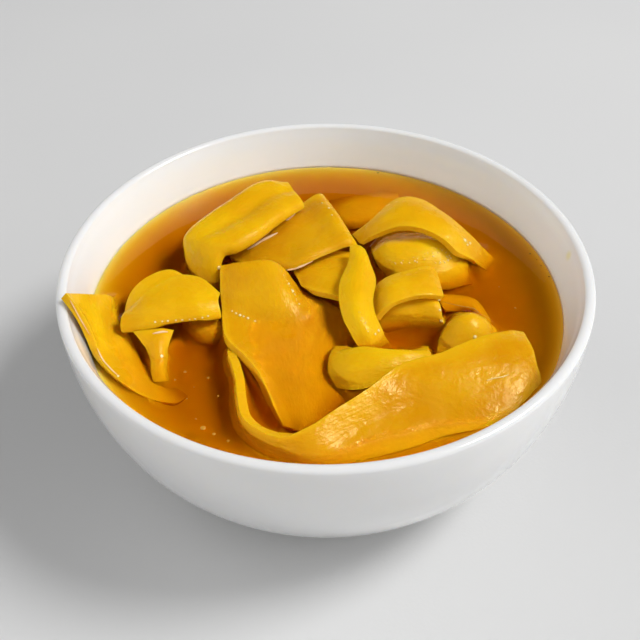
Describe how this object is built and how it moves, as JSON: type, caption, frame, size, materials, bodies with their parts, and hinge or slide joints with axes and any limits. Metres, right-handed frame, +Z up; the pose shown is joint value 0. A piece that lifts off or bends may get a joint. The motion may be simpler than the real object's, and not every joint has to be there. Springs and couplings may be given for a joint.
{
  "type": "bowl of wonton soup",
  "caption": "White round bowl of clear amber broth with folded strips and parcels of cooked wonton dough standing out of it, for serving soup.",
  "frame": {"origin": "middle of the bowl's foot ring, on the surface it rests on", "axes": "+Z up through the bowl's middle; -Y is the side the bowl is seen from; +X is to that viewer's right"},
  "size_m": [0.17, 0.17, 0.072],
  "materials": {
    "porcelain": "smooth white glaze",
    "clear_broth": "clear amber liquid, darker where it is deep",
    "cooked_dough": "wet, soft golden dough, slightly translucent"
  },
  "bodies": {
    "root": {"bowl": "porcelain", "broth": "clear_broth", "rim_strip": "cooked_dough", "left_fold": "cooked_dough", "left_tail": "cooked_dough", "back_fold": "cooked_dough", "back_strip": "cooked_dough", "middle_strip": "cooked_dough", "hanging_ribbon": "cooked_dough", "centre_strip": "cooked_dough", "front_loop": "cooked_dough", "front_parcel": "cooked_dough", "back_arch": "cooked_dough", "right_parcel": "cooked_dough", "right_fold": "cooked_dough", "right_underfold": "cooked_dough", "right_knob": "cooked_dough"}
  },
  "joints": []
}
